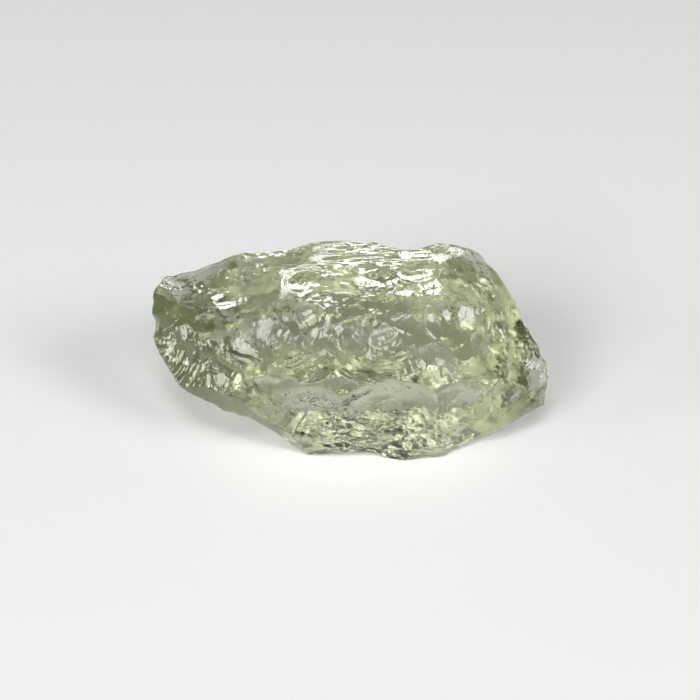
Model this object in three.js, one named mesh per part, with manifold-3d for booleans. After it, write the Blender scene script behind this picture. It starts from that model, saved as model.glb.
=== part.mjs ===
// A lump of rough prasiolite, the pale green kind of quartz, as it is broken from the vein.
// Quartz has no cleavage: every face is a shell-shaped (conchoidal) fracture, hollow like the inside
// of a bowl and rippled in arcs about the point where the blow fell. The lump is made the same way:
// a convex block of quartz, then one blow after another, each taking off a flake and leaving its scar.
// Millimetres, +Z up. The lump rests on its flat underside at Z = 0, with its broad face towards -Y.

import * as THREE from "three";
import { ConvexGeometry } from "three/addons/geometries/ConvexGeometry.js";
import { mergeVertices } from "three/addons/utils/BufferGeometryUtils.js";
import Module from "manifold-3d";

// Driving dimensions: the block that the lump is struck from.
const LENGTH = 38;
const DEPTH = 16.3;
const HEIGHT = 15;

// The look of the stone, for a viewer that draws the group as it is.
const STONE_GREEN = 0xb4bc9a;
const STONE_ROUGHNESS = 0.06;

// How finely a scar is faceted, and how far from the blow its ripples run.
const FACET = 1.7;
const RIPPLE_STEPS = 4;
const RIPPLE_REACH = 18;
const RIPPLE_BEND = 1.6;
const NO_RIPPLE = [0, FACET * RIPPLE_STEPS];
const FAR_STEPS = 10;
const FEWEST_SEGMENTS = 20;
const MOST_SEGMENTS = 42;
const MERGE_DISTANCE = 1e-4;

// How far a scar wanders from a true ball, and over what length.
const UNEVEN = 0.16;
const UNEVEN_LENGTH = 5.5;

const HALF = LENGTH / 2;
const BACK = DEPTH / 2;

// The corners of the block before it was struck, in groups from top to bottom.
const CORNERS = [
  // The rim of the top face, from the left tip round the back to the right shoulder.
  [-HALF, 4.0, 11.2],
  [-18.2, 6.0, 12.4],
  [-13.2, 6.8, 13.6],
  [-9.4, 7.4, 14.3],
  [-0.2, BACK, 14.8],
  [1.6, BACK, 14.8],
  [9.9, 7.6, 14.6],
  [12.5, 6.8, 14.3],
  [14.0, 5.2, 13.1],
  // The ridge along the top face and its front edge.
  [-3.0, 0.8, HEIGHT],
  [7.0, 0.4, HEIGHT],
  [-12.0, -2.4, 13.4],
  [-4.7, -3.0, 14.2],
  [8.8, -2.8, 14.0],
  // The crest of the broad face, where it turns down into the front wall.
  [-8.9, -7.9, 8.9],
  [4.7, -8.3, 10.4],
  [9.5, -8.0, 9.8],
  // The ends of the lump.
  [-18.9, 0.3, 9.2],
  [-18.1, -0.4, 7.6],
  [15.4, 3.4, 11.4],
  [17.2, 2.0, 9.2],
  [18.8, -0.6, 6.2],
  [HALF, -1.4, 4.9],
  [18.6, -2.9, 3.2],
  // The lower edge of the front wall, rising at both ends.
  [-16.2, -3.2, 5.6],
  [-13.4, -4.5, 4.6],
  [-10.7, -5.3, 3.6],
  [-5.1, -6.0, 0.5],
  [-3.8, -6.6, 0],
  [4.2, -7.6, 0],
  [9.8, -6.8, 0.3],
  [14.6, -4.3, 1.9],
  // The back wall and the far edge of the underside.
  [-14.0, 6.6, 6.5],
  [-6.0, 8.0, 3.5],
  [5.0, BACK, 4.0],
  [13.0, 5.6, 4.5],
  [-8.0, 4.8, 0],
  [9.0, 5.2, 0],
  [12.0, 0.0, 0],
  [-8.5, -1.8, 0],
];

// The flakes struck off the block. A scar is part of a ball of the given radius: `at` is its deepest
// point, `out` the way the flake came off, and `blow` the point on the ball where it was struck.
// `ripple` is the height and the spacing of the rings about the blow, and `hackle` the height of the
// rays that run out from it. A scar with neither is smooth.
const FLAKES = [
  // The top face: the rippled sheet, its front slope, the left shoulder and the lump on the right.
  { at: [2.4, 3.0, 14.3], out: [0.02, 0.02, 1], radius: 28, blow: [4, -9, 12], ripple: [0.16, 1.7] },
  { at: [1.6, -0.9, 13.8], out: [0.03, -0.28, 0.96], radius: 24, blow: [3, -9, 10], ripple: [0.13, 1.4] },
  { at: [-12.6, 2.0, 12.5], out: [-0.25, -0.1, 0.96], radius: 46, blow: [-18, 6, 11] },
  { at: [11.6, 2.0, 13.1], out: [0.36, -0.12, 0.92], radius: 14, blow: [9, 3, 14] },
  { at: [-6.8, 5.4, 14.1], out: [-0.12, 0.12, 0.98], radius: 18, blow: [-4, 8, 14] },
  { at: [5.6, 7.3, 14.0], out: [0, 0.72, 0.69], radius: 6, blow: [5, 8, 15] },
  // The left end of the broad face: the notch, the pale strip, the lined patch and two small facets.
  { at: [-18.3, 1.3, 9.9], out: [-0.94, -0.3, 0.1], radius: 1.8, blow: [-18.5, 2, 11] },
  { at: [-15.0, -2.4, 8.4], out: [-0.6, -0.72, 0.35], radius: 15, blow: [-19.5, 1, 9], ripple: [0.13, 1.5] },
  { at: [-11.5, -4.9, 8.6], out: [-0.5, -0.76, 0.41], radius: 8, blow: [-12, -2, 11], hackle: 0.14 },
  { at: [-10.9, -2.2, 12.6], out: [-0.15, -0.45, 0.88], radius: 5, blow: [-12, 0, 13] },
  { at: [-14.0, -1.0, 11.4], out: [-0.45, -0.5, 0.74], radius: 6, blow: [-15, 1, 12] },
  // The middle of the broad face: the smooth window, its hollow, the bright ridges and the nested shell.
  { at: [-7.8, -4.8, 10.5], out: [-0.1, -0.62, 0.78], radius: 8, blow: [-9, -2, 12.4] },
  { at: [-6.0, -3.2, 12.3], out: [0.1, -0.55, 0.83], radius: 3.6, blow: [-7, -1, 13] },
  { at: [-3.5, -4.4, 11.3], out: [-0.15, -0.66, 0.74], radius: 8, blow: [-7, -2, 13], ripple: [0.14, 1.2] },
  { at: [0.6, -4.8, 10.7], out: [0.15, -0.62, 0.77], radius: 6, blow: [3, -3.4, 12.4], ripple: [0.14, 1.2] },
  { at: [4.2, -3.2, 12.9], out: [0.05, -0.5, 0.86], radius: 7, blow: [4, -1, 13.6] },
  // The right of the broad face: the dark slope, the bright hollow and the green window.
  { at: [6.4, -5.5, 10.8], out: [0.2, -0.8, 0.57], radius: 14, blow: [4, -3, 13], hackle: 0.12 },
  { at: [7.4, -3.6, 12.4], out: [0.35, -0.5, 0.79], radius: 4, blow: [7, -2, 13.4] },
  { at: [12.5, -2.2, 10.3], out: [0.48, -0.54, 0.69], radius: 20, blow: [9, -2, 14] },
  // The right end.
  { at: [16.3, -1.4, 7.0], out: [0.6, -0.6, 0.53], radius: 5, blow: [18, 0, 8] },
  { at: [16.9, -3.4, 5.0], out: [0.58, -0.78, 0.22], radius: 4, blow: [18.5, -2, 6] },
  { at: [15.8, 0.4, 8.8], out: [0.6, -0.42, 0.68], radius: 8, blow: [17, 2, 9.5], hackle: 0.1 },
  { at: [14.8, 3.0, 7.6], out: [0.7, 0.71, -0.1], radius: 12, blow: [14, 7, 12], ripple: [0.12, 1.8] },
  // The front wall, left to right, then its lower edge.
  { at: [-7.7, -6.8, 6.9], out: [-0.3, -0.94, 0.15], radius: 8, blow: [-9, -7, 9] },
  { at: [-3.8, -6.9, 5.6], out: [-0.15, -0.98, -0.1], radius: 8, blow: [-2, -7.5, 9.5], hackle: 0.2 },
  { at: [4.4, -7.2, 8.8], out: [0.02, -0.93, -0.36], radius: 8, blow: [5, -8, 11] },
  { at: [1.8, -7.0, 5.0], out: [0, -0.99, -0.1], radius: 9, blow: [2, -8, 8] },
  { at: [9.4, -6.8, 5.2], out: [0.3, -0.95, -0.05], radius: 14, blow: [9, -8, 10], hackle: 0.14 },
  { at: [14.2, -4.9, 5.6], out: [0.52, -0.85, 0], radius: 12, blow: [12, -6, 9], hackle: 0.12 },
  { at: [1.5, -7.2, 1.6], out: [0, -0.96, -0.28], radius: 12, blow: [2, -9, -2] },
  { at: [11.0, -5.9, 2.8], out: [0.4, -0.88, -0.25], radius: 9, blow: [13, -5, 1] },
  { at: [-8.2, -4.8, 2.7], out: [-0.5, -0.4, -0.77], radius: 8, blow: [-5, -6, 1] },
  // The back wall and the slopes under both ends.
  { at: [-12.2, 6.3, 9.0], out: [-0.3, 0.95, -0.05], radius: 15, blow: [-10, 7, 13] },
  { at: [0.4, 7.5, 8.4], out: [0, 1, 0.02], radius: 17, blow: [2, 8, 13], ripple: [0.13, 1.8] },
  { at: [-6.2, 7.2, 9.6], out: [-0.08, 0.99, 0.05], radius: 15, blow: [-8, 8, 14], hackle: 0.1 },
  { at: [5.6, 7.4, 9.9], out: [0.04, 0.99, 0.08], radius: 16, blow: [4, 9, 15] },
  { at: [10.4, 6.4, 8.8], out: [0.36, 0.93, 0.05], radius: 14, blow: [11, 7, 13] },
  { at: [-1.4, 6.0, 2.3], out: [0, 0.77, -0.64], radius: 12, blow: [-1, 9, 5], hackle: 0.1 },
  { at: [-7.6, 6.2, 3.4], out: [-0.2, 0.85, -0.48], radius: 16, blow: [-8, 5, 0] },
  { at: [4.0, 6.6, 2.8], out: [0.1, 0.88, -0.46], radius: 20, blow: [4, 5, 0] },
  { at: [13.2, 2.6, 3.6], out: [0.7, 0.4, -0.58], radius: 14, blow: [15, 3, 6] },
  { at: [-13.8, 1.2, 5.6], out: [-0.45, 0.2, -0.87], radius: 18, blow: [-18, 1, 8] },
  { at: [-10.6, 3.4, 3.0], out: [-0.5, 0.45, -0.74], radius: 12, blow: [-9, 4, 1] },
  { at: [15.2, -0.8, 1.9], out: [0.5, 0, -0.87], radius: 12, blow: [18, -1, 4] },
];

const wasm = await Module();
wasm.setup();

// A closed geometry as a solid that can be joined and cut.
function solid(geometry) {
  const bare = new THREE.BufferGeometry();
  bare.setAttribute("position", geometry.getAttribute("position").clone());
  bare.setIndex(geometry.index);
  const merged = mergeVertices(bare, MERGE_DISTANCE);
  const corners = merged.index.array;
  const kept = [];
  for (let i = 0; i < corners.length; i += 3) {
    const [a, b, c] = corners.slice(i, i + 3);
    if (a !== b && b !== c && c !== a) {
      kept.push(a, b, c);
    }
  }
  return new wasm.Manifold(
    new wasm.Mesh({
      numProp: 3,
      vertProperties: new Float32Array(merged.attributes.position.array),
      triVerts: new Uint32Array(kept),
    }),
  );
}

// The distances from the blow, along the ball, at which the cutter has a ring of corners.
function ringDistances(radius, pitch) {
  const farthest = Math.PI * radius;
  const reach = Math.min(RIPPLE_REACH, farthest / 2);
  const near = Math.round((reach / pitch) * RIPPLE_STEPS);
  const distances = [];
  for (let i = 0; i < near; i++) {
    distances.push((reach * i) / near);
  }
  for (let i = 0; i <= FAR_STEPS; i++) {
    distances.push(reach + ((farthest - reach) * i) / FAR_STEPS);
  }
  return distances;
}

// A slow wave through the quartz that bends every scar a little.
function wander({ x, y, z }) {
  const turn = (2 * Math.PI) / UNEVEN_LENGTH;
  const across = Math.sin(turn * (x + 0.6 * y) + 1.3);
  const along = Math.sin(turn * (0.7 * z - 0.8 * x) + 0.4);
  const up = Math.sin(turn * (1.1 * y + 0.9 * z) + 2.1);
  return (UNEVEN * (across + along + up)) / 3;
}

// The ball that takes one flake off, turned so that its pole is the blow: ripples are rings about the
// pole and hackles are rays from it, both dying away with distance.
function flakeCutter({ at, out, radius, blow, ripple = NO_RIPPLE, hackle = 0 }) {
  const [height, pitch] = ripple;
  const centre = new THREE.Vector3(...out).setLength(radius).add(new THREE.Vector3(...at));
  const pole = new THREE.Vector3(...blow).sub(centre).normalize();
  const turn = new THREE.Quaternion().setFromUnitVectors(new THREE.Vector3(0, 1, 0), pole);
  const around = Math.round((2 * Math.PI * Math.min(radius, RIPPLE_REACH)) / FACET);
  const segments = THREE.MathUtils.clamp(around, FEWEST_SEGMENTS, MOST_SEGMENTS);
  const profile = ringDistances(radius, pitch).map((distance) => {
    const angle = distance / radius;
    return new THREE.Vector2(Math.max(0, radius * Math.sin(angle)), radius * Math.cos(angle));
  });
  const ball = new THREE.LatheGeometry(profile.reverse(), segments);
  const corners = ball.getAttribute("position");
  const corner = new THREE.Vector3();
  for (let i = 0; i < corners.count; i++) {
    corner.fromBufferAttribute(corners, i);
    const distance = radius * Math.acos(THREE.MathUtils.clamp(corner.y / radius, -1, 1));
    const fades = distance < RIPPLE_REACH ? Math.sin((Math.PI * distance) / RIPPLE_REACH) : 0;
    const bearing = Math.atan2(corner.x, corner.z);
    const bend = RIPPLE_BEND * Math.sin(2 * bearing + radius);
    const rings = height * Math.sin((2 * Math.PI * distance) / pitch + bend);
    const rays = hackle * Math.sin(Math.round(segments / 3) * bearing) * Math.cos(2 * bearing + radius);
    corner.applyQuaternion(turn);
    const reach = radius + fades * (rings + rays);
    const place = corner.clone().add(centre);
    corner.setLength(reach + wander(place)).add(centre);
    corners.setXYZ(i, corner.x, corner.y, corner.z);
  }
  return solid(ball);
}

// The struck stone as one geometry.
function stoneGeometry() {
  const block = solid(new ConvexGeometry(CORNERS.map((corner) => new THREE.Vector3(...corner))));
  const struck = FLAKES.reduce((stone, flake) => stone.subtract(flakeCutter(flake)), block);
  const { vertProperties, triVerts } = struck.getMesh();
  const geometry = new THREE.BufferGeometry();
  geometry.setAttribute("position", new THREE.BufferAttribute(vertProperties, 3));
  geometry.setIndex(new THREE.BufferAttribute(triVerts, 1));
  geometry.computeVertexNormals();
  return geometry;
}

const stone = new THREE.Mesh(
  stoneGeometry(),
  new THREE.MeshStandardMaterial({ color: STONE_GREEN, roughness: STONE_ROUGHNESS, metalness: 0 }),
);
stone.name = "stone";

const prasiolite = new THREE.Group();
prasiolite.add(stone);

export default prasiolite;
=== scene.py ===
# %% [markdown]
# # A lump of rough prasiolite
# Prasiolite is the pale green, clear kind of quartz. Quartz has no flat planes along which it splits, so a
# rough lump is covered in shell-shaped scars: each blow takes a flake off and leaves a smooth hollow, with
# ripples in rings about the point where the blow fell. This lesson makes the lump the way it broke. It
# starts from a plain block, takes one flake after another off it, chips the sharp ridges, and then gives
# the stone a clear green finish.

# %% Load the frame
import math
import random

import bpy
import numpy as np
from mathutils import Matrix, Vector


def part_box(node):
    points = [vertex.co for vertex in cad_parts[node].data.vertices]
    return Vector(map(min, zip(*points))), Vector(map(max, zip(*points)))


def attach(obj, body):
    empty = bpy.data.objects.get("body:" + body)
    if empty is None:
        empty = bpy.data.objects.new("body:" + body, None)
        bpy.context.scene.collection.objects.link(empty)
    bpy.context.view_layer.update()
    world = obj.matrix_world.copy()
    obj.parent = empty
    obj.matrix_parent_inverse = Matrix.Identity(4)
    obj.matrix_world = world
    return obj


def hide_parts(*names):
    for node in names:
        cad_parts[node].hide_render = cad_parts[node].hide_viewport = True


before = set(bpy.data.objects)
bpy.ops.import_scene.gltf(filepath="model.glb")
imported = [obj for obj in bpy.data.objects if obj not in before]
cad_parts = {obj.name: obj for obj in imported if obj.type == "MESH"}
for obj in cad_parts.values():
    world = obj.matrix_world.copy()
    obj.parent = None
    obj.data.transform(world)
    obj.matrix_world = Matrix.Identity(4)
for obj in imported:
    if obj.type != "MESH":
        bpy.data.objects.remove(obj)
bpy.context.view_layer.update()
MM = 0.001
low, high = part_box("stone")
print("the stone is", [round(side / MM, 1) for side in high - low], "mm")

# %% [markdown]
# ## The floor
# The lump lies on a plain pale table. A clear stone shows its surroundings more than itself, so the floor
# is large, matt and nearly white, and runs well past the edges of the picture.

# %% The pale floor
FLOOR_SIZE = 2.0
FLOOR_DROP = 0.02 * MM
FLOOR_WHITE = (0.80, 0.80, 0.79, 1)
PAPER_ROUGHNESS = 0.9

bpy.ops.object.select_all(action="DESELECT")
bpy.ops.mesh.primitive_plane_add(size=FLOOR_SIZE, location=(0, 0, -FLOOR_DROP))
floor = bpy.context.object
floor.name = "floor"
paper = bpy.data.materials.new("pale paper")
paper.use_nodes = True
paper_shader = paper.node_tree.nodes["Principled BSDF"]
paper_shader.inputs["Base Color"].default_value = FLOOR_WHITE
paper_shader.inputs["Roughness"].default_value = PAPER_ROUGHNESS
floor.data.materials.append(paper)
print("floor", floor.dimensions[:])

# %% [markdown]
# ## The camera
# The photograph looks at the lump's broad face and at its top together, from about 35 degrees above level.
# A long lens from some way off keeps the lump's outline nearly free of perspective, as a close-up does.

# %% The camera
ELEVATION = math.radians(35)
DISTANCE = 157 * MM
LENS = 85
AIM = Vector((0, 0, 7.5 * MM))

to_camera = Vector((0, -math.cos(ELEVATION), math.sin(ELEVATION)))
bpy.ops.object.camera_add(location=AIM + to_camera * DISTANCE)
camera = bpy.context.object
camera.name = "camera"
camera.rotation_euler = to_camera.to_track_quat("Z", "Y").to_euler()
camera.data.lens = LENS
camera.data.clip_start = 1 * MM
bpy.context.scene.camera = camera
print("camera at", [round(c / MM) for c in camera.location], "mm")

# %% [markdown]
# ## The light
# Light from all round would make a clear stone look milky. Two soft boxes, at the front left and on the
# right, light the floor, which is most of what the eye sees through the stone. Three small ones, above, low
# on the left and in front, are there for the glints on the broad face. A strip behind the lump puts white
# streaks on the ripples of its top. The strip is hidden from the floor and from light that passes through
# the stone, because it is wanted only as a reflection.

# %% The soft boxes
BOX_DISTANCE = 0.8


def soft_box(name, azimuth, elevation, width, height, brightness):
    """Adds a rectangular lamp that faces the lump from an angle given in degrees."""
    turn = math.radians(azimuth)
    rise = math.radians(elevation)
    level = math.cos(rise)
    towards = Vector((math.sin(turn) * level, -math.cos(turn) * level, math.sin(rise)))
    bpy.ops.object.light_add(type="AREA", location=AIM + towards * BOX_DISTANCE)
    lamp = bpy.context.object
    lamp.name = name
    lamp.rotation_euler = towards.to_track_quat("Z", "Y").to_euler()
    lamp.data.shape = "RECTANGLE"
    lamp.data.size = width
    lamp.data.size_y = height
    lamp.data.energy = brightness * math.pi * width * height
    print(name, "at", [round(c / MM) for c in lamp.location], "mm")
    return lamp


soft_box("key_box", azimuth=-35, elevation=32, width=0.42, height=0.42, brightness=8.4)
soft_box("side_box", azimuth=62, elevation=33, width=0.32, height=0.32, brightness=9.4)
soft_box("top_box", azimuth=-8, elevation=66, width=0.28, height=0.20, brightness=10.4)
soft_box("low_box", azimuth=-72, elevation=14, width=0.19, height=0.32, brightness=9)
soft_box("front_box", azimuth=15, elevation=45, width=0.19, height=0.19, brightness=6)
strip = soft_box("back_strip", azimuth=180, elevation=38, width=0.48, height=0.16, brightness=20)
strip.visible_transmission = False
strip.visible_diffuse = False

# %% [markdown]
# ## The room
# Between the boxes the room stays nearly dark, so that the ridges have something dark to show. A bright room
# would wash the lines off the scars.

# %% The dark room
ROOM_GREY = (0.42, 0.42, 0.42, 1)
ROOM_LIGHT = 0.04

room = bpy.data.worlds.new("room")
bpy.context.scene.world = room
room.use_nodes = True
air = room.node_tree.nodes["Background"]
air.inputs["Color"].default_value = ROOM_GREY
air.inputs["Strength"].default_value = ROOM_LIGHT
print("room light", ROOM_LIGHT)

# %% [markdown]
# ## How far light travels
# Light bounces many times inside a clear stone before it comes out. The render is allowed enough of those
# steps, or the inside would turn black. Very bright stray rays are held down, so that they leave no specks.

# %% Light paths
STEPS_INSIDE = 24
STRAY_LIMIT = 6

paths = bpy.context.scene.cycles
paths.max_bounces = STEPS_INSIDE
paths.transmission_bounces = STEPS_INSIDE
paths.glossy_bounces = STEPS_INSIDE // 2
paths.sample_clamp_indirect = STRAY_LIMIT
bpy.context.scene.view_settings.view_transform = "Standard"
print("light may take", STEPS_INSIDE, "steps")

# %% [markdown]
# ## The block
# Before it was struck, the lump was a plain block with no hollows. The convex hull of the finished shape is
# that block, so a copy of the solid is merged and wrapped. A box with cut corners would do as well, but the
# hull already has the lump's real size. A voxel remesh then gives the block an even skin of small faces.

# %% Wrap the block
BLOCK_FACE = 0.36 * MM
SAME_POINT = 0.001 * MM


def only(piece):
    """Selects one object and nothing else."""
    bpy.ops.object.select_all(action="DESELECT")
    piece.select_set(True)
    bpy.context.view_layer.objects.active = piece


stone = bpy.data.objects.new("rough_stone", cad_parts["stone"].data.copy())
bpy.context.scene.collection.objects.link(stone)
only(stone)
bpy.ops.object.mode_set(mode="EDIT")
bpy.ops.mesh.select_all(action="SELECT")
bpy.ops.mesh.remove_doubles(threshold=SAME_POINT)
bpy.ops.mesh.convex_hull()
bpy.ops.object.mode_set(mode="OBJECT")
stone.data.remesh_voxel_size = BLOCK_FACE
bpy.ops.object.voxel_remesh()
print("block", len(stone.data.polygons), "faces")

# %% [markdown]
# ## An uneven skin
# No broken face is a true plane. A slow cloud pattern bends the block's skin a little, in and out, and the
# same pattern bends every scar later on. The block also gets the map that the scars bring with them, so that
# one finish can follow the lines on all of them.

# %% Bend the block
UNEVEN_SIZE = 4.5 * MM
UNEVEN_DEPTH = 0.35 * MM


def apply_all(piece):
    """Applies every modifier of a piece, from the top."""
    only(piece)
    for modifier in list(piece.modifiers):
        bpy.ops.object.modifier_apply(modifier=modifier.name)


def press(piece, pattern, depth):
    """Presses a pattern into a piece's surface: raised and sunk by half of depth."""
    dent = piece.modifiers.new(pattern.name, "DISPLACE")
    dent.texture = pattern
    dent.strength = depth
    dent.mid_level = 0.5
    dent.texture_coords = "GLOBAL"
    apply_all(piece)


slow_cloud = bpy.data.textures.new("slow cloud", "CLOUDS")
slow_cloud.noise_scale = UNEVEN_SIZE
slow_cloud.noise_depth = 2
press(stone, slow_cloud, UNEVEN_DEPTH)
stone.data.uv_layers.new(name="struck")
print("bent block", [round(side / MM, 1) for side in stone.dimensions], "mm")

# %% [markdown]
# ## A level underside
# The lump has to lie on the floor, and the bending pushed some of its skin below it. A large cube under the
# floor takes that away with a Boolean modifier. The flakes come off in the same way.

# %% Level the underside
FLOOR_CUBE = 60 * MM


def cut(piece, tool):
    """Takes the tool's volume away from a piece, and the tool with it."""
    blow = piece.modifiers.new("blow", "BOOLEAN")
    blow.operation = "DIFFERENCE"
    blow.solver = "MANIFOLD"
    blow.object = tool
    apply_all(piece)
    bpy.data.objects.remove(tool)


bpy.ops.object.select_all(action="DESELECT")
bpy.ops.mesh.primitive_cube_add(size=FLOOR_CUBE, location=(0, 0, -FLOOR_CUBE / 2))
bpy.context.object.data.uv_layers[0].name = "struck"
cut(stone, bpy.context.object)
print("level block", len(stone.data.polygons), "faces")

# %% [markdown]
# ## The flakes
# Every scar is part of a large ball. It is listed by its deepest point, the way the flake came off, the
# ball's radius and the point of the blow, in millimetres. Some scars have ripples in rings about the blow,
# given by their height and spacing, and some have hackles, the fine ridges that run out from the blow like
# rays. The list goes round the lump as the real scars do.

# %% The list of flakes
TOP_LINES = (0.09, 0.45)

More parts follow.
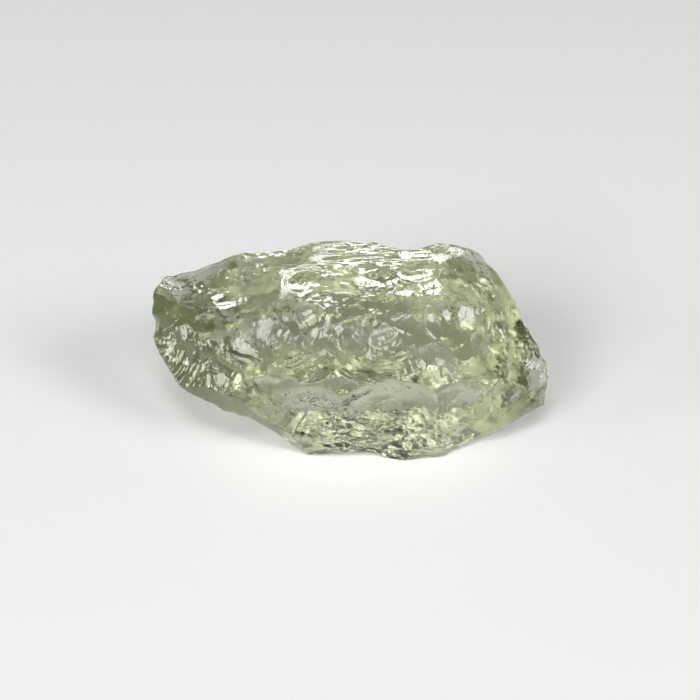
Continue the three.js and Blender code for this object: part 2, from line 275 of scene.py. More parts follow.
FLAKES = [
    # The top face: the rippled sheet, its front slope, the left shoulder and the lump on the right.
    dict(
        at=(2.4, 3.0, 14.3),
        out=(0.02, 0.02, 1),
        radius=28,
        blow=(4, -9, 12),
        ripple=(0.2, 1.0),
        fine=TOP_LINES,
    ),
    dict(
        at=(1.6, -0.9, 13.8),
        out=(0.03, -0.28, 0.96),
        radius=24,
        blow=(3, -9, 10),
        ripple=(0.18, 0.9),
        fine=TOP_LINES,
    ),
    dict(at=(-12.6, 2.0, 12.5), out=(-0.25, -0.1, 0.96), radius=46, blow=(-18, 6, 11), hackle=(0.08, 0.6)),
    dict(at=(11.6, 2.0, 13.1), out=(0.36, -0.12, 0.92), radius=14, blow=(9, 3, 14), ripple=(0.08, 1.0)),
    dict(at=(-6.8, 5.4, 14.1), out=(-0.12, 0.12, 0.98), radius=18, blow=(-4, 8, 14)),
    dict(at=(5.6, 7.3, 14.0), out=(0, 0.72, 0.69), radius=6, blow=(5, 8, 15)),
    # The left end of the broad face: the notch, the pale strip, the lined patch and two small facets.
    dict(at=(-18.3, 1.3, 9.9), out=(-0.94, -0.3, 0.1), radius=1.8, blow=(-18.5, 2, 11)),
    dict(at=(-15.0, -2.4, 8.4), out=(-0.6, -0.72, 0.35), radius=15, blow=(-19.5, 1, 9), ripple=(0.2, 0.9)),
    dict(at=(-11.5, -4.9, 8.6), out=(-0.5, -0.76, 0.41), radius=8, blow=(-12, -2, 11), hackle=(0.2, 0.6)),
    dict(at=(-10.9, -2.2, 12.6), out=(-0.15, -0.45, 0.88), radius=5, blow=(-12, 0, 13)),
    dict(at=(-14.0, -1.0, 11.4), out=(-0.45, -0.5, 0.74), radius=6, blow=(-15, 1, 12)),
    # The middle of the broad face: the smooth window, its hollow, the bright ridges and the nested shell.
    dict(at=(-7.8, -4.8, 10.5), out=(-0.1, -0.62, 0.78), radius=8, blow=(-9, -2, 12.4)),
    dict(at=(-6.0, -3.2, 12.3), out=(0.1, -0.55, 0.83), radius=3.6, blow=(-7, -1, 13)),
    dict(at=(-3.5, -4.4, 11.3), out=(-0.15, -0.66, 0.74), radius=8, blow=(-7, -2, 13), ripple=(0.2, 0.9)),
    dict(at=(0.6, -4.8, 10.7), out=(0.15, -0.62, 0.77), radius=6, blow=(3, -3.4, 12.4), ripple=(0.2, 0.9)),
    dict(at=(4.2, -3.2, 12.9), out=(0.05, -0.5, 0.86), radius=7, blow=(4, -1, 13.6)),
    # The right of the broad face: the dark slope, the bright hollow and the green window.
    dict(at=(6.4, -5.5, 10.8), out=(0.2, -0.8, 0.57), radius=14, blow=(4, -3, 13), hackle=(0.16, 0.6)),
    dict(at=(7.4, -3.6, 12.4), out=(0.35, -0.5, 0.79), radius=4, blow=(7, -2, 13.4)),
    dict(
        at=(12.5, -2.2, 10.3),
        out=(0.48, -0.54, 0.69),
        radius=20,
        blow=(9, -2, 14),
        ripple=(0.1, 1.2),
        hackle=(0.06, 0.6),
    ),
    # The right end.
    dict(at=(16.3, -1.4, 7.0), out=(0.6, -0.6, 0.53), radius=5, blow=(18, 0, 8)),
    dict(at=(16.9, -3.4, 5.0), out=(0.58, -0.78, 0.22), radius=4, blow=(18.5, -2, 6)),
    dict(at=(15.8, 0.4, 8.8), out=(0.6, -0.42, 0.68), radius=8, blow=(17, 2, 9.5), hackle=(0.1, 0.8)),
    dict(at=(14.8, 3.0, 7.6), out=(0.7, 0.71, -0.1), radius=12, blow=(14, 7, 12), ripple=(0.12, 1.8)),
    # The front wall, left to right, then its lower edge.
    dict(at=(-7.7, -6.8, 6.9), out=(-0.3, -0.94, 0.15), radius=8, blow=(-9, -7, 9), ripple=(0.08, 1.2)),
    dict(at=(-3.8, -6.9, 5.6), out=(-0.15, -0.98, -0.1), radius=8, blow=(-2, -7.5, 9.5), hackle=(0.28, 0.7)),
    dict(at=(4.4, -7.2, 8.8), out=(0.02, -0.93, -0.36), radius=8, blow=(5, -8, 11)),
    dict(at=(1.8, -7.0, 5.0), out=(0, -0.99, -0.1), radius=9, blow=(2, -8, 8), ripple=(0.16, 1.0)),
    dict(at=(9.4, -6.8, 5.2), out=(0.3, -0.95, -0.05), radius=14, blow=(9, -8, 10), hackle=(0.22, 0.7)),
    dict(at=(14.2, -4.9, 5.6), out=(0.52, -0.85, 0), radius=12, blow=(12, -6, 9), hackle=(0.2, 0.7)),
    dict(at=(1.5, -7.2, 1.6), out=(0, -0.96, -0.28), radius=12, blow=(2, -9, -2), hackle=(0.14, 0.6)),
    dict(at=(11.0, -5.9, 2.8), out=(0.4, -0.88, -0.25), radius=9, blow=(13, -5, 1), hackle=(0.14, 0.6)),
    dict(at=(-8.2, -4.8, 2.7), out=(-0.5, -0.4, -0.77), radius=8, blow=(-5, -6, 1)),
    # The back wall and the slopes under both ends.
    dict(at=(-12.2, 6.3, 9.0), out=(-0.3, 0.95, -0.05), radius=15, blow=(-10, 7, 13), ripple=(0.14, 1.4)),
    dict(at=(0.4, 7.5, 8.4), out=(0, 1, 0.02), radius=17, blow=(2, 8, 13), ripple=(0.13, 1.8)),
    dict(at=(-6.2, 7.2, 9.6), out=(-0.08, 0.99, 0.05), radius=15, blow=(-8, 8, 14), hackle=(0.1, 0.8)),
    dict(at=(5.6, 7.4, 9.9), out=(0.04, 0.99, 0.08), radius=16, blow=(4, 9, 15), ripple=(0.15, 1.4)),
    dict(at=(10.4, 6.4, 8.8), out=(0.36, 0.93, 0.05), radius=14, blow=(11, 7, 13), hackle=(0.16, 1.0)),
    dict(at=(-1.4, 6.0, 2.3), out=(0, 0.77, -0.64), radius=12, blow=(-1, 9, 5), hackle=(0.2, 1.1)),
    dict(at=(-7.6, 6.2, 3.4), out=(-0.2, 0.85, -0.48), radius=16, blow=(-8, 5, 0), ripple=(0.18, 1.5)),
    dict(at=(4.0, 6.6, 2.8), out=(0.1, 0.88, -0.46), radius=20, blow=(4, 5, 0), ripple=(0.18, 1.4)),
    dict(at=(13.2, 2.6, 3.6), out=(0.7, 0.4, -0.58), radius=14, blow=(15, 3, 6), ripple=(0.16, 1.4)),
    dict(at=(-13.8, 1.2, 5.6), out=(-0.45, 0.2, -0.87), radius=18, blow=(-18, 1, 8), ripple=(0.16, 1.5)),
    dict(at=(-10.6, 3.4, 3.0), out=(-0.5, 0.45, -0.74), radius=12, blow=(-9, 4, 1), hackle=(0.16, 1.0)),
    dict(at=(15.2, -0.8, 1.9), out=(0.5, 0, -0.87), radius=12, blow=(18, -1, 4), ripple=(0.14, 1.3)),
    # The underside, which rests on the ridges between its shallow scars.
    dict(at=(-5.5, -1.5, 0.5), out=(-0.12, -0.05, -1), radius=14, blow=(-9, 2, 0), ripple=(0.08, 1.5)),
    dict(at=(-4.0, 3.0, 0.45), out=(0.08, 0.14, -1), radius=12, blow=(-6, 6, 0), hackle=(0.06, 0.9)),
    dict(at=(-1.5, -4.0, 0.5), out=(0.1, -0.12, -1), radius=13, blow=(-1, -9, 0), ripple=(0.08, 1.2)),
    dict(at=(1.0, 0.8, 0.55), out=(-0.1, 0.08, -1), radius=15, blow=(5, 2, 0), ripple=(0.08, 1.6)),
    dict(at=(4.6, -3.8, 0.45), out=(0.12, 0.06, -1), radius=12, blow=(8, -7, 0), hackle=(0.06, 0.8)),
    dict(at=(5.5, 2.6, 0.5), out=(0.05, -0.12, -1), radius=14, blow=(6, 6, 0), ripple=(0.08, 1.3)),
    dict(at=(9.5, -2.0, 0.5), out=(0.15, 0.02, -1), radius=12, blow=(13, -2, 0), ripple=(0.08, 1.4)),
    dict(at=(9.0, 3.0, 0.4), out=(-0.05, 0.12, -1), radius=11, blow=(9, 7, 0), hackle=(0.06, 0.9)),
]
print(len(FLAKES), "flakes")

# %% [markdown]
# ## The tool for one flake
# The tool that takes a flake off is a scoop: a fine grid pressed onto a ball, patterned, and then drawn out
# into a thick block. A whole ball would do as well, but a grid puts its small faces only where the scar
# will be. A scoop is only as wide as its scar needs, and it is turned so that its Z points out of the stone.

# %% The width and the turn of a scoop
DEEPEST = 3
WIDEST = math.radians(60)


def opening(flake):
    """Gives the half angle of the part of the ball that a scoop needs."""
    return min(WIDEST, math.acos(1 - min(1, flake.get("deep", DEEPEST) / flake["radius"])))


def facing(flake):
    """Turns a scoop so that its Z points out of the stone and its Y away from the blow."""
    out = Vector(flake["out"]).normalized()
    way = Vector(flake["at"]) - Vector(flake["blow"])
    across = way.cross(out).normalized()
    return Matrix((across, out.cross(across), out)).transposed()


print("the first scoop opens", round(math.degrees(opening(FLAKES[0]))), "degrees to each side")

# %% [markdown]
# ## Ripples and hackles
# Ripples and hackles follow the blow, not the grid. So each scoop gets a map that measures how far a point
# lies from the blow, and on which bearing. A cloud pattern stretched one way on such a map makes ripples,
# and stretched the other way it makes hackles. Soft clouds give round waves, hard ones give creases.

# %% Patterns for ripples and hackles
NEAREST_BLOW = 2 * MM


def lines_pattern(name, kind):
    """Makes a cloud pattern one unit of its map wide."""
    pattern = bpy.data.textures.new(name, "CLOUDS")
    pattern.noise_scale = 1
    pattern.noise_depth = 1
    pattern.noise_type = kind
    return pattern


def struck_map(tool, name, flake, ring_step, ray_step):
    """Maps a scoop by the distance from the blow and the bearing, each in steps of so many millimetres."""
    out = Vector(flake["out"]).normalized()
    blow = Vector(flake["blow"]) * MM
    way = Vector(flake["at"]) * MM - blow
    way = way - way.dot(out) * out
    reach = max(way.length, NEAREST_BLOW)
    way = way.normalized()
    side = out.cross(way)
    points = np.empty(len(tool.data.vertices) * 3)
    tool.data.vertices.foreach_get("co", points)
    points = points.reshape(-1, 3) @ np.array(tool.matrix_world.to_3x3()).T
    points += np.array(tool.matrix_world.translation) - np.array(blow)
    ahead = points @ np.array(way)
    aside = points @ np.array(side)
    distance = np.hypot(ahead, aside)
    bearing = np.arctan2(aside, ahead) * reach
    corners = np.empty(len(tool.data.loops), dtype=np.int32)
    tool.data.loops.foreach_get("vertex_index", corners)
    values = np.stack([distance / (2 * ring_step * MM), bearing / (2 * ray_step * MM)], axis=1)
    layer = tool.data.uv_layers.get(name) or tool.data.uv_layers.new(name=name)
    layer.data.foreach_set("uv", values[corners].astype(np.float32).ravel())


def press_map(tool, flake, pattern, depth, ring_step, ray_step):
    """Presses a pattern along the rings or the rays of a blow."""
    struck_map(tool, "lines", flake, ring_step, ray_step)
    dent = tool.modifiers.new(pattern.name, "DISPLACE")
    dent.texture = pattern
    dent.strength = depth * MM
    dent.mid_level = 0.5
    dent.texture_coords = "UV"
    dent.uv_layer = "lines"
    apply_all(tool)


soft_lines = lines_pattern("soft lines", "SOFT_NOISE")
hard_lines = lines_pattern("hard lines", "HARD_NOISE")
print("patterns:", soft_lines.name, "and", hard_lines.name)

# %% [markdown]
# ## Make a scoop
# The grid starts flat, one radius below the middle of its ball. A Cast modifier pulls it onto the ball, the
# clouds bend it, and the ripples, fine lines and hackles are pressed in one after the other. An extrude then
# draws it out of the stone. Scars on the seen side get smaller faces than those behind and below.

# %% The scoop
FRONT_FACE = 0.17 * MM
SCAR_FACE = 0.22 * MM
LIFT = 12
FAINT_RIPPLE = (0.05, 1.2)
FAINT_FINE = (0.06, 0.5)
FAINT_HACKLE = (0.03, 0.6)
RIPPLE_SWING = 1.6
RIPPLE_LENGTH = 2.5
FINE_LENGTH = 3
HACKLE_LENGTH = 5
FEWEST_FACES = 8


def in_front(out):
    """Tells whether a scar that faces this way can be seen in the picture."""
    return out.y < 0.3 and out.z > -0.5


def ball_patch(flake):
    """Adds a grid pressed onto the ball of a flake."""
    out = Vector(flake["out"]).normalized()
    radius = flake["radius"] * MM
    half = radius * math.tan(opening(flake))
    face = FRONT_FACE if in_front(out) else SCAR_FACE
    faces = max(FEWEST_FACES, round(2 * half / face))
    bpy.ops.object.select_all(action="DESELECT")
    bpy.ops.mesh.primitive_grid_add(
        x_subdivisions=faces,
        y_subdivisions=faces,
        size=2 * half,
        location=Vector(flake["at"]) * MM + out * radius,
        rotation=facing(flake).to_euler(),
    )
    tool = bpy.context.object
    bpy.ops.object.mode_set(mode="EDIT")
    bpy.ops.transform.translate(value=(0, 0, -radius), orient_type="LOCAL")
    bpy.ops.object.mode_set(mode="OBJECT")
    ball = tool.modifiers.new("ball", "CAST")
    ball.use_radius_as_size = False
    ball.size = radius
    ball.factor = 1
    apply_all(tool)
    return tool


def scoop(flake):
    """Makes the tool that takes one flake off."""
    tool = ball_patch(flake)
    press(tool, slow_cloud, flake.get("uneven", UNEVEN_DEPTH / MM) * MM)
    height, pitch = flake.get("ripple", FAINT_RIPPLE)
    press_map(tool, flake, soft_lines, RIPPLE_SWING * height, pitch / 2, pitch * RIPPLE_LENGTH)
    height, pitch = flake.get("fine", FAINT_FINE)
    press_map(tool, flake, hard_lines, height, pitch / 2, pitch * FINE_LENGTH)
    height, pitch = flake.get("hackle", FAINT_HACKLE)
    press_map(tool, flake, hard_lines, height, pitch * HACKLE_LENGTH, pitch / 2)
    struck_map(tool, "struck", flake, 1, 1)
    tool.data.uv_layers.remove(tool.data.uv_layers["lines"])
    only(tool)
    bpy.ops.object.transform_apply(location=True, rotation=True, scale=True)
    draw_out = Vector(flake["out"]).normalized() * flake.get("lift", LIFT) * MM
    bpy.ops.object.mode_set(mode="EDIT")
    bpy.ops.mesh.select_all(action="SELECT")
    bpy.ops.mesh.extrude_region_move(TRANSFORM_OT_translate={"value": draw_out})
    bpy.ops.mesh.select_all(action="SELECT")
    bpy.ops.mesh.normals_make_consistent(inside=False)
    bpy.ops.object.mode_set(mode="OBJECT")
    return tool


face_sizes = [round(face / MM, 2) for face in (FRONT_FACE, SCAR_FACE)]
print("scar faces are", face_sizes, "mm wide in front and elsewhere")

# %% [markdown]
# ## Strike the flakes
# On the real lump one blow fell after another. One Boolean cut for each would take long, so scoops that
# stay clear of each other are joined and cut in one turn. Joined scoops mustn't overlap, because the solver
# takes them as one closed body.

# %% Strike the flakes
SPINE_STEPS = (0, 0.25, 0.5, 0.75, 1)


def apart(one, two):
    """Tells whether two scoops stay clear of each other all the way up."""
    reach = 0
    spines = []
    for flake in (one, two):
        corner = math.atan(math.sqrt(2) * math.tan(opening(flake)))
        reach += flake["radius"] * math.sin(corner)
        out = Vector(flake["out"]).normalized() * flake.get("lift", LIFT)
        spines.append([Vector(flake["at"]) + out * step for step in SPINE_STEPS])
    return all((first - second).length > reach for first in spines[0] for second in spines[1])


def strike(piece, flakes):
    """Takes flakes off in turns: the scoops of one turn are joined and stay clear of each other."""
    turns = []
    for flake in flakes:
        for turn in turns:
            if all(apart(flake, other) for other in turn):
                turn.append(flake)
                break
        else:
            turns.append([flake])
    for turn in turns:
        tools = [scoop(flake) for flake in turn]
        only(tools[0])
        for tool in tools:
            tool.select_set(True)
        if len(tools) > 1:
            bpy.ops.object.join()
        cut(piece, bpy.context.object)
    print(len(flakes), "flakes in", len(turns), "turns,", len(piece.data.polygons), "faces left")


strike(stone, FLAKES)

# %% [markdown]
# ## Facets seen on the front
# Smaller scars cover the side that faces the camera. They are listed by where they are seen: millimetres to
# the right and up from the middle of the picture. Each facet leans to the right or up from the face around
# it, has a width and a depth, and names the side that its blow came from.

# %% The list of facets
FACETS = [
    # The shoulder on the left and the bright facets under it.
    dict(see=(-15.5, 4.2), lean=(-0.1, -0.15), width=5.0, deep=0.35, blow=(-4, 2)),
    dict(see=(-12.9, 2.7), lean=(0.0, 0.35), width=3.0, deep=0.4, blow=(-3, 1)),
    dict(see=(-9.4, 4.4), lean=(0.1, 0.3), width=2.8, deep=0.4, blow=(0, 3)),
    dict(see=(-12.2, 5.6), lean=(0.2, -0.1), width=3.4, deep=0.3, blow=(3, 2)),
    # The pale strip, the bright ripples and the lined patch beside them.
    dict(see=(-16.8, -0.6), lean=(-0.05, 0.15), width=3.2, deep=0.25, blow=(-1, 4), ripple=(0.08, 0.8)),
    dict(see=(-14.4, 0.6), lean=(0.1, 0.25), width=3.6, deep=0.4, blow=(5, 1), ripple=(0.16, 0.8)),
    dict(see=(-11.2, -1.6), lean=(0.25, -0.2), width=3.2, deep=0.4, blow=(2, 4), hackle=(0.12, 0.45)),
    # The smooth window, and the hollow with glints above it.
    dict(see=(-8.0, -0.4), lean=(-0.15, 0.1), width=4.4, deep=0.45, blow=(-2, 3)),
    dict(see=(-6.8, 1.9), lean=(0.2, -0.35), width=2.6, deep=0.6, blow=(-3, 2), ripple=(0.12, 0.6)),
    # The bright blades, the nested shell and the smooth band over it.
    dict(see=(-4.6, 3.2), lean=(0.3, -0.1), width=2.8, deep=0.4, blow=(-1, 3), hackle=(0.12, 0.6)),
    dict(see=(-3.6, 0.9), lean=(-0.4, 0.25), width=2.6, deep=0.45, blow=(1, 4), hackle=(0.14, 0.5)),
    dict(see=(-2.8, -1.4), lean=(-0.3, 0.3), width=2.4, deep=0.4, blow=(1, 4), hackle=(0.12, 0.5)),
    dict(see=(0.4, 0.2), lean=(0.25, 0.1), width=4.6, deep=0.6, blow=(3, 1.5), ripple=(0.2, 0.9)),
    dict(see=(3.8, 2.7), lean=(0.0, 0.2), width=3.8, deep=0.4, blow=(0, 4)),
    dict(see=(0.8, 2.9), lean=(-0.2, 0.25), width=2.6, deep=0.35, blow=(2, 2)),
    # The dark slope, the green hollow and the window on the right.
    dict(see=(8.0, -1.6), lean=(-0.1, 0.35), width=2.6, deep=0.45, blow=(-3, 1), ripple=(0.14, 0.6)),
    dict(see=(10.6, 2.0), lean=(-0.15, 0.1), width=4.2, deep=0.4, blow=(-3, 3), ripple=(0.08, 0.9)),
    dict(see=(13.6, 1.2), lean=(0.15, -0.05), width=4.4, deep=0.4, blow=(3, 3), ripple=(0.08, 1.0)),
    dict(see=(11.8, -1.0), lean=(0.0, -0.15), width=3.6, deep=0.35, blow=(0, 4), hackle=(0.06, 0.6)),
    dict(see=(15.2, -0.4), lean=(-0.25, 0.15), width=2.4, deep=0.35, blow=(2, 2), ripple=(0.1, 0.6)),
    dict(see=(16.6, -1.6), lean=(0.1, 0.15), width=1.8, deep=0.25, blow=(-2, 2), ripple=(0.08, 0.5)),
    # The rippled sheet on top and the lump beside it.
    dict(see=(-1.8, 6.8), lean=(-0.05, 0.0), width=4.2, deep=0.2, blow=(0, -5), ripple=(0.14, 0.7)),
    dict(see=(2.6, 7.4), lean=(0.05, 0.0), width=4.4, deep=0.2, blow=(-1, -5), ripple=(0.16, 0.8)),
    dict(see=(4.4, 4.8), lean=(0.15, -0.1), width=3.4, deep=0.35, blow=(3, 3), hackle=(0.12, 0.5)),
    dict(see=(9.6, 6.6), lean=(-0.2, 0.1), width=3.2, deep=0.35, blow=(2, 3)),
    dict(see=(12.2, 6.2), lean=(0.15, -0.15), width=3.6, deep=0.4, blow=(-1, 3)),
    # The broken edge along the top of the front wall.
    dict(see=(-5.2, -3.4), lean=(-0.6, 0.6), width=2.8, deep=0.6, blow=(1, 2), hackle=(0.14, 0.5)),
    dict(see=(-2.0, -3.9), lean=(0.5, 0.8), width=3.0, deep=0.6, blow=(-1, 2), hackle=(0.14, 0.5)),
    dict(see=(11.8, -3.4), lean=(0.4, 0.7), width=2.8, deep=0.6, blow=(-1, 2), hackle=(0.14, 0.5)),
    # The front wall, left to right.
    dict(see=(-8.4, -4.0), lean=(0.2, 0.15), width=3.6, deep=0.4, blow=(-2, 3)),
    dict(see=(-4.0, -5.8), lean=(0.2, 0.25), width=3.2, deep=0.45, blow=(1, 4), hackle=(0.2, 0.6)),
    dict(see=(2.8, -6.4), lean=(0.2, 0.0), width=3.4, deep=0.4, blow=(2, 3), ripple=(0.1, 0.7)),
    dict(see=(2.8, -3.8), lean=(-0.1, -0.2), width=3.0, deep=0.4, blow=(0, 3)),
    dict(see=(6.4, -4.6), lean=(0.1, -0.1), width=3.4, deep=0.35, blow=(-1, 3), hackle=(0.1, 0.6)),
    dict(see=(10.4, -4.6), lean=(0.2, -0.1), width=3.6, deep=0.4, blow=(-3, 3), hackle=(0.14, 0.6)),
    dict(see=(12.4, -5.4), lean=(-0.1, 0.3), width=3.0, deep=0.4, blow=(-2, 3), hackle=(0.14, 0.5)),
    dict(see=(14.8, -3.8), lean=(0.2, 0.1), width=3.4, deep=0.4, blow=(-2, 3), hackle=(0.1, 0.6)),
    dict(see=(16.6, -3.4), lean=(0.0, -0.1), width=2.4, deep=0.25, blow=(1, 3)),
    dict(see=(-1.0, -8.4), lean=(0.1, 0.2), width=3.0, deep=0.35, blow=(2, 2), ripple=(0.1, 0.6)),
    dict(see=(7.4, -8.2), lean=(0.1, 0.2), width=2.8, deep=0.35, blow=(-2, 2), hackle=(0.1, 0.5)),
]
print(len(FACETS), "facets")

# %% [markdown]
# ## Measure the stone
# To place a facet, the script has to know where the stone's surface is. A ray from the camera finds the
# surface at a point of the picture, and a table of all faces tells how deep a scoop would go below them. The
# faces farthest out in every direction of the picture make the outline, which small scars must leave alone.

# %% Measure the stone
RIGHT = Vector((1, 0, 0))
UP = to_camera.cross(RIGHT)


def seen(right, up):
    """Finds the stone's surface and its outward way at a point of the picture."""
    target = AIM + (RIGHT * right + UP * up) * MM
    start = AIM + to_camera * DISTANCE
    found, place, outward, _ = stone.ray_cast(start, (target - start).normalized())
    return (place, outward) if found else None


def face_table(piece):
    """Lists the middles, the ways and the areas of a piece's faces, lengths in millimetres."""
    faces = piece.data.polygons
    middles = np.empty(len(faces) * 3)
    ways = np.empty(len(faces) * 3)
    areas = np.empty(len(faces))
    faces.foreach_get("center", middles)
    faces.foreach_get("normal", ways)
    faces.foreach_get("area", areas)
    return middles.reshape(-1, 3) / MM, ways.reshape(-1, 3), areas


def outline_points(middles):
    """Picks the points that make the stone's outline in the picture, one for each degree."""
    offset = middles - np.array(AIM) / MM
    right = offset @ np.array(RIGHT)
    up = offset @ np.array(UP)
    bearing = np.floor(np.degrees(np.arctan2(up, right))).astype(int) + 180
    reach = np.hypot(right, up)
    points = []
    for step in range(361):
        part = np.nonzero(bearing == step)[0]
        if len(part):
            points.append(middles[part[reach[part].argmax()]])
    return np.array(points)


skin = face_table(stone)[0]
outline = outline_points(skin)
print("the outline has", len(outline), "points")

# %% [markdown]
# ## Keep a scoop in bounds
# A scoop whose rim ends inside the stone would leave a straight slit, which no blow does. So a scoop is made
# wider until its whole rim lies outside, and moved outwards where it would go too deep or bite the outline.
# A scoop that never fits is left out.

# %% Fit a scoop
OUTLINE_BITE = 0.12
WIDER = 0.25
TRIES = 8
RIM_STEPS = (-1, -0.67, -0.33, 0, 0.33, 0.67)
CORNER_REACH = 1.42


def deepest_bite(middles, flake):
    """Measures how deep a scoop would go below the faces that lie inside it."""
    out = np.array(Vector(flake["out"]).normalized())
    offset = middles - np.array(flake["at"])
    height = offset @ out
    aside = np.linalg.norm(offset - np.outer(height, out), axis=1)
    depth = flake["radius"] - np.linalg.norm(offset - out * flake["radius"], axis=1)
    width = flake["radius"] * math.sin(opening(flake)) * CORNER_REACH
    inside = (aside < width) & (height < flake["deep"] + flake["lift"])
    return max(0, depth[inside].max()) if inside.any() else 0


def rim_points(flake):
    """Lists points along the four sides of a scoop, in metres."""
    turn = facing(flake)
    centre = Vector(flake["at"]) + turn.col[2] * flake["radius"]
    half = math.tan(opening(flake))
    points = []
    for step in RIM_STEPS:
        for corner in ((step, -1), (1, step), (-step, 1), (-1, -step)):
            way = turn @ Vector((corner[0] * half, corner[1] * half, -1)).normalized()
            points.append((centre + way * flake["radius"]) * MM)
    return points


def clears(piece, flake):
    """Tells whether the rim of a scoop lies outside a piece all the way round."""
    for point in rim_points(flake):
        found, nearest, outward, _ = piece.closest_point_on_mesh(point)
        if (point - nearest).dot(outward) < 0:
            return False
    return True


def fit_scoop(piece, middles, flake, limit):
    """Widens a scoop until its rim clears the piece, and lifts it where it would bite too deep."""
    out = Vector(flake["out"])
    for _ in range(TRIES):
        too_deep = max(0, deepest_bite(middles, flake) - limit, deepest_bite(outline, flake) - OUTLINE_BITE)
        flake["at"] = tuple(Vector(flake["at"]) + out * too_deep)
        if clears(piece, flake):
            return flake
        flake["deep"] += WIDER
    return None


print("small scars may take", OUTLINE_BITE, "mm off the outline")

# %% [markdown]
# ## Strike the facets
# Rays through a ring of points round each facet find the face there, and its middle and its way. The facet
# then becomes a flake like the others: part of a ball as wide and as deep as the list says. Leans and depths
# are eased a little, because a small scar on a real lump follows the face that it lies on.

# %% Strike the facets
LEAN = 0.6
DEPTH = 0.7
SMALLEST_BALL = 2.8
DEEPEST_FACET = 0.5
SIGHT_RINGS = (0, 0.2, 0.4, 0.6, 0.8, 1, 1.2)
SIGHTS = 10
NEAR_SIGHTS = 21
SAME_FACE = 0.9
SCOOP_ROOM = 0.4


def face_at(facet):
    """Finds the middle and the way of the face on which a facet is seen."""
    hits = []
    for ring in SIGHT_RINGS:
        for turn in range(SIGHTS if ring else 1):
            angle = turn * 2 * math.pi / SIGHTS + ring
            right = facet["see"][0] + ring * facet["width"] * math.cos(angle)
            up = facet["see"][1] + ring * facet["width"] * math.sin(angle)
            hit = seen(right, up)
            if hit:
                hits.append(hit)
    near = [hit for hit in hits[:NEAR_SIGHTS] if hit[1].dot(hits[0][1]) > SAME_FACE]
    place = sum((hit[0] for hit in near), Vector()) / len(near)
    return place, sum((hit[1] for hit in near), Vector()).normalized()


def ball_radius(width, depth):
    """Gives the radius of the ball that leaves a scar of this width and depth."""
    return max(SMALLEST_BALL, width ** 2 / 8 / depth)


def facet_flake(facet):
    """Turns a facet seen in the picture into a flake on the stone."""
    place, outward = face_at(facet)
    out = (outward + LEAN * (RIGHT * facet["lean"][0] + UP * facet["lean"][1])).normalized()
    blow = place + (RIGHT * facet["blow"][0] + UP * facet["blow"][1]) * MM
    deep = facet["deep"] * DEPTH
    flake = dict(
        at=tuple(place / MM - out * deep),
        out=tuple(out),
        radius=ball_radius(facet["width"], deep),
        blow=tuple(blow / MM),
        deep=deep + SCOOP_ROOM,
        lift=3,
        uneven=0.15,
        fine=(0.05, 0.45),
    )
    flake.update((name, facet[name]) for name in ("ripple", "hackle") if name in facet)
    return fit_scoop(stone, skin, flake, DEEPEST_FACET)


facets = [flake for flake in map(facet_flake, FACETS) if flake]
print(len(FACETS) - len(facets), "facets had no room")
strike(stone, facets)

# %% [markdown]
# ## Facets on the other sides
# The photograph doesn't show the back and the underside, but they broke in the same way. Places are drawn
# at random from the faces there, never two close together, and each gets a scar with ripples or hackles. The
# draw has a fixed start, so that the stone comes out the same each time.

# %% Facets on the other sides
HIDDEN_SPACING = 3.0
HIDDEN_DRAWS = 900
HIDDEN_SEED = 3
DEEPEST_HIDDEN = 0.55
ABOVE_FLOOR = 0.9
TURNED_AWAY = 0.05
AROUND = 1.0


def hidden_flakes(piece, dice):
    """Lists small flakes at places drawn from the sides turned away from the camera."""
    middles, ways, areas = face_table(piece)
    away = np.nonzero((ways @ np.array(to_camera) < TURNED_AWAY) & (middles[:, 2] > ABOVE_FLOOR))[0]
    order = dice.choices(list(away), weights=list(areas[away]), k=HIDDEN_DRAWS)
    chosen = []
    flakes = []
    for index in order:
        place = Vector(middles[index])
        if any((place - other).length < HIDDEN_SPACING for other in chosen):
            continue
        near = np.linalg.norm(middles - middles[index], axis=1) < AROUND
        outward = Vector((ways[near] * areas[near, None]).sum(axis=0)).normalized()
        lean = Vector([dice.uniform(-0.3, 0.3) for _ in range(3)])
        out = (outward + lean).normalized()
        reach = Vector([dice.uniform(-4, 4) for _ in range(3)])
        depth = dice.uniform(0.25, 0.4)
        flake = dict(
            at=tuple(place - out * depth),
            out=tuple(out),
            radius=ball_radius(dice.uniform(4, 7), depth),
            blow=tuple(place + reach),
            deep=depth + SCOOP_ROOM,
            lift=3,
            uneven=0.15,
            ripple=(dice.uniform(0.06, 0.2), dice.uniform(0.8, 1.2)),
            hackle=(dice.uniform(0.04, 0.2), dice.uniform(0.6, 0.9)),
        )
        if fit_scoop(piece, middles, flake, DEEPEST_HIDDEN):
            chosen.append(place)
            flakes.append(flake)
    return flakes


strike(stone, hidden_flakes(stone, random.Random(HIDDEN_SEED)))

# %% [markdown]
# ## Find the ridges
# Where two scars meet, the ridge between them is thin and breaks easily. Blender selects the sharp edges, and
# points are drawn from them at random, but never two that are close together. A sharp edge can also be a
# valley, so a point counts only if the faces near it drop away on both sides.

# %% Points along the ridges
NEAR = 0.9
LEAST_DROP = 0.04
BESIDE = 0.15
LOWEST_RIDGE = 0.8
BLUNTEST_RIDGE = 22


def sharp_edges(piece, sharpness):
    """Lists the middle and the direction of each sharp edge of a piece, in millimetres."""
    only(piece)
    bpy.ops.object.mode_set(mode="EDIT")
    bpy.ops.mesh.select_mode(type="EDGE")
    bpy.ops.mesh.select_all(action="DESELECT")
    bpy.ops.mesh.edges_select_sharp(sharpness=math.radians(sharpness))
    bpy.ops.object.mode_set(mode="OBJECT")
    corners = piece.data.vertices
    ridges = []
    for edge in piece.data.edges:
        if edge.select:
            ends = [corners[index].co / MM for index in edge.vertices]
            ridges.append(((ends[0] + ends[1]) / 2, (ends[1] - ends[0]).normalized()))
    return ridges


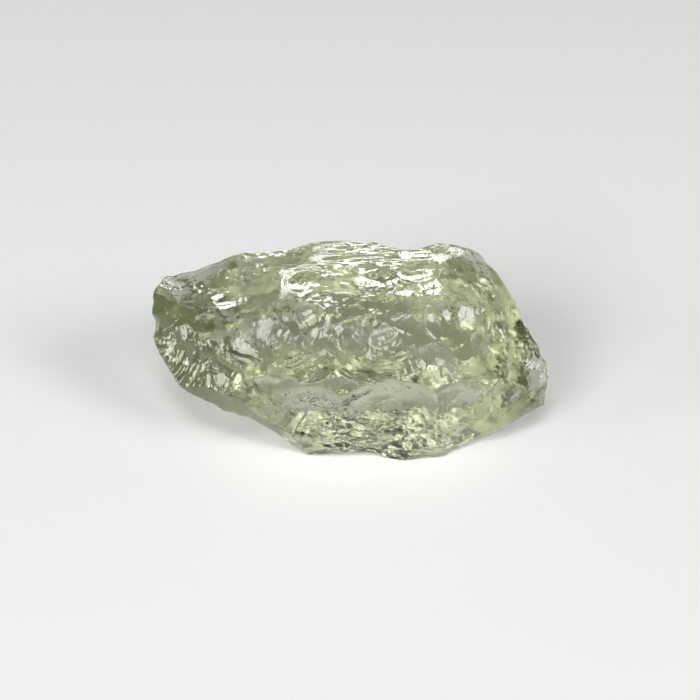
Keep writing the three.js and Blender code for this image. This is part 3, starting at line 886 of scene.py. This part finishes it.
def ridge_points(piece, sharpness, spacing, dice):
    """Draws spaced points from a piece's sharp ridges, each with the ways its two sides face."""
    ridges = sharp_edges(piece, sharpness)
    dice.shuffle(ridges)
    middles, ways, areas = face_table(piece)
    chosen = []
    for point, along in ridges:
        if point.z < LOWEST_RIDGE or any((point - other[0]).length < spacing for other in chosen):
            continue
        offset = middles - np.array(point)
        near = np.linalg.norm(offset, axis=1) < NEAR
        outward = (ways[near] * areas[near, None]).sum(axis=0)
        outward /= np.linalg.norm(outward)
        side = np.cross(outward, along)
        left = near & (offset @ side > BESIDE)
        right = near & (offset @ side < -BESIDE)
        if not left.any() or not right.any():
            continue
        sides = [Vector((ways[part] * areas[part, None]).sum(axis=0)).normalized() for part in (left, right)]
        drop = np.average(offset[near] @ outward, weights=areas[near])
        if drop < -LEAST_DROP:
            chosen.append((point, sides, along))
    return chosen


print(len(sharp_edges(stone, BLUNTEST_RIDGE)), "sharp edges")

# %% [markdown]
# ## Small flakes along the ridges
# Small flakes come off the ridges to one side or the other, first some larger ones and then smaller ones.
# They are scoops like all the rest, and one that would go too deep, bite the outline or leave a slit is
# dropped.

# %% Small flakes
DEEPER_THAN_MEANT = 0.15
RIDGE_SEED = 7


def ridge_flakes(piece, sharpness, spacing, depths, radii, dice):
    """Lists flakes that break off the ridges of a piece, each to one side or the other."""
    middles = face_table(piece)[0]
    flakes = []
    for point, sides, along in ridge_points(piece, sharpness, spacing, dice):
        out = sides[0].lerp(sides[1], dice.uniform(0.2, 0.8)).normalized()
        side = out.cross(along)
        depth = dice.uniform(*depths)
        reach = side * dice.choice((-1, 1)) * dice.uniform(1, 2.5) + along * dice.uniform(-1.5, 1.5)
        flake = dict(
            at=tuple(point - out * depth),
            out=tuple(out),
            radius=dice.uniform(*radii),
            blow=tuple(point + reach),
            deep=depth + SCOOP_ROOM,
            lift=2,
            uneven=0.1,
            ripple=(dice.uniform(0.03, 0.1), dice.uniform(0.6, 1.0)),
            fine=(0.03, 0.45),
            hackle=(dice.uniform(0.01, 0.08), 0.6),
        )
        too_deep = deepest_bite(middles, flake) > depth + DEEPER_THAN_MEANT
        if not too_deep and deepest_bite(outline, flake) < OUTLINE_BITE and clears(piece, flake):
            flakes.append(flake)
    return flakes


dice = random.Random(RIDGE_SEED)
larger = ridge_flakes(stone, BLUNTEST_RIDGE, spacing=5.0, depths=(0.2, 0.5), radii=(4.5, 9), dice=dice)
strike(stone, larger)
smaller = ridge_flakes(stone, 25, spacing=4.2, depths=(0.1, 0.24), radii=(2.5, 6), dice=dice)
strike(stone, smaller)

# %% [markdown]
# ## Chips
# The sharpest edges of a rough stone are nicked all along. A nick is a bite of a small, bumpy ball. Hundreds
# of scoops would be slow, so the balls stand well apart, and all of them are joined and cut in one go.

# %% Chips
CHIP_CLOUD = 0.7 * MM
CHIP_BUMPS = 0.16 * MM


def chip_ridges(piece, sharpness, spacing, sizes, bite):
    """Bites small balls out of the sharp edges in one cut."""
    balls = []
    for point, sides, along in ridge_points(piece, sharpness, spacing, dice):
        size = dice.uniform(*sizes)
        outward = sides[0].lerp(sides[1], dice.uniform(0.1, 0.9)).normalized()
        bpy.ops.object.select_all(action="DESELECT")
        bpy.ops.mesh.primitive_ico_sphere_add(
            subdivisions=3,
            radius=size,
            location=(point * MM + outward * size * (1 - bite)),
            rotation=(dice.uniform(0, 6), dice.uniform(0, 6), 0),
        )
        balls.append(bpy.context.object)
    only(balls[0])
    for ball in balls:
        ball.select_set(True)
    bpy.ops.object.join()
    tool = bpy.context.object
    bpy.ops.object.transform_apply(location=True, rotation=True, scale=True)
    tool.data.uv_layers[0].name = "struck"
    press(tool, chip_cloud, CHIP_BUMPS)
    cut(piece, tool)
    print(len(balls), "chips,", len(piece.data.polygons), "faces")


chip_cloud = bpy.data.textures.new("chip cloud", "CLOUDS")
chip_cloud.noise_scale = CHIP_CLOUD
chip_cloud.noise_depth = 1
chip_ridges(stone, sharpness=30, spacing=3.6, sizes=(0.7 * MM, 1.3 * MM), bite=0.1)
chip_ridges(stone, sharpness=35, spacing=2.2, sizes=(0.4 * MM, 0.8 * MM), bite=0.13)

# %% [markdown]
# ## One piece
# Cuts that meet can leave a loose crumb behind. The mesh is separated into its loose parts, and only the
# largest, the stone itself, is kept.

# %% Sweep up the crumbs
only(stone)
bpy.ops.object.mode_set(mode="EDIT")
bpy.ops.mesh.select_mode(type="VERT")
bpy.ops.mesh.select_all(action="SELECT")
bpy.ops.mesh.separate(type="LOOSE")
bpy.ops.object.mode_set(mode="OBJECT")
parts = sorted(bpy.context.selected_objects, key=lambda part: len(part.data.vertices))
stone = parts.pop()
for crumb in parts:
    bpy.data.objects.remove(crumb)
stone.name = "rough_stone"
print(len(parts), "crumbs swept up,", len(stone.data.vertices), "points kept")

# %% [markdown]
# ## Smooth scars and sharp ridges
# A scar is glassy and smooth, but its ridge is a true edge. Shading by angle smooths the small faces of a
# scar into one surface, and keeps every edge that is sharper than the ripples.

# %% Shade the scars
RIDGE_ANGLE = math.radians(32)

only(stone)
bpy.ops.object.shade_smooth_by_angle(angle=RIDGE_ANGLE)
print(sum(edge.use_edge_sharp for edge in stone.data.edges), "edges kept sharp")

# %% [markdown]
# ## Clear quartz
# Light goes straight through quartz, and bends on its way in and out. Plain transmission with the index of
# quartz, 1.544, does that, and the base colour takes only a little of the light. A painted picture of
# reflections would look right from one side only.

# %% The clear quartz
SURFACE_TINT = (0.95, 0.97, 0.90, 1)
QUARTZ_INDEX = 1.544

quartz = bpy.data.materials.new("clear green quartz")
quartz.use_nodes = True
nodes = quartz.node_tree.nodes
links = quartz.node_tree.links
shader = nodes["Principled BSDF"]
shader.inputs["Base Color"].default_value = SURFACE_TINT
shader.inputs["Transmission Weight"].default_value = 1
shader.inputs["IOR"].default_value = QUARTZ_INDEX
stone.data.materials.clear()
stone.data.materials.append(quartz)
print("index of refraction", QUARTZ_INDEX)

# %% [markdown]
# ## Fine lines on the scars
# The ripples and hackles are in the mesh, but a real scar also has lines finer than any face. Each scar
# brought its map of rings and rays along, so a noise drawn out along the rings gives such lines in the right
# direction on every scar. They are a weak bump, because a strong one makes a clear stone look blurred.

# %% Fine lines
LINE_STRETCH = (9, 2.2, 1)
LINE_STRENGTH = 0.55
LINE_HEIGHT = 0.05 * MM

struck = nodes.new("ShaderNodeUVMap")
struck.uv_map = "struck"
stretch_lines = nodes.new("ShaderNodeMapping")
stretch_lines.inputs["Scale"].default_value = LINE_STRETCH
links.new(struck.outputs["UV"], stretch_lines.inputs["Vector"])
fine_lines = nodes.new("ShaderNodeTexNoise")
fine_lines.inputs["Scale"].default_value = 1
fine_lines.inputs["Detail"].default_value = 3
links.new(stretch_lines.outputs["Vector"], fine_lines.inputs["Vector"])
bump = nodes.new("ShaderNodeBump")
bump.inputs["Strength"].default_value = LINE_STRENGTH
bump.inputs["Distance"].default_value = LINE_HEIGHT
links.new(fine_lines.outputs["Fac"], bump.inputs["Height"])
links.new(bump.outputs["Normal"], shader.inputs["Normal"])
print("fine lines", round(LINE_HEIGHT / MM, 2), "mm high")

# %% [markdown]
# ## Dull patches
# A fresh break is as smooth as glass, but here and there it is scuffed and a little dull. A noise on the
# stone's own coordinates picks those places, and only its highest parts are rough.

# %% Dull patches
SCUFFS_PER_METRE = 260
GLASSY = 0.005
SCUFFED = 0.07
SCUFFS_START = 0.56
SCUFFS_FULL = 0.74

place = nodes.new("ShaderNodeTexCoord")
scuffs = nodes.new("ShaderNodeTexNoise")
scuffs.inputs["Scale"].default_value = SCUFFS_PER_METRE
scuffs.inputs["Detail"].default_value = 2
links.new(place.outputs["Object"], scuffs.inputs["Vector"])
dullness = nodes.new("ShaderNodeMapRange")
dullness.inputs["From Min"].default_value = SCUFFS_START
dullness.inputs["From Max"].default_value = SCUFFS_FULL
dullness.inputs["To Min"].default_value = GLASSY
dullness.inputs["To Max"].default_value = SCUFFED
links.new(scuffs.outputs["Fac"], dullness.inputs["Value"])
links.new(dullness.outputs["Result"], shader.inputs["Roughness"])
print("roughness", GLASSY, "to", SCUFFED)

# %% [markdown]
# ## The green inside
# The green of prasiolite is in the stone, not on it: thin edges are almost without colour, and the thick
# middle is deepest. So the colour is absorption, which grows with the way that light takes inside. It takes
# blue most and green least.

# %% The green inside
PASSING_LIGHT = (0.44, 0.48, 0.22, 1)
GREEN_DENSITY = 54

absorb = nodes.new("ShaderNodeVolumeAbsorption")
absorb.inputs["Color"].default_value = PASSING_LIGHT
absorb.inputs["Density"].default_value = GREEN_DENSITY
links.new(absorb.outputs["Volume"], nodes["Material Output"].inputs["Volume"])
half_way = math.log(2) / (GREEN_DENSITY * (1 - PASSING_LIGHT[2]))
print("half of the blue is gone after", round(half_way / MM, 1), "mm")

# %% [markdown]
# ## Into the frame
# The finished stone stands in for the plain solid of the same lump. It is one piece that nothing moves, so it
# rides on the root body.

# %% Put the stone in the frame
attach(stone, "root")
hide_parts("stone")
print("the stone rides on the root body")
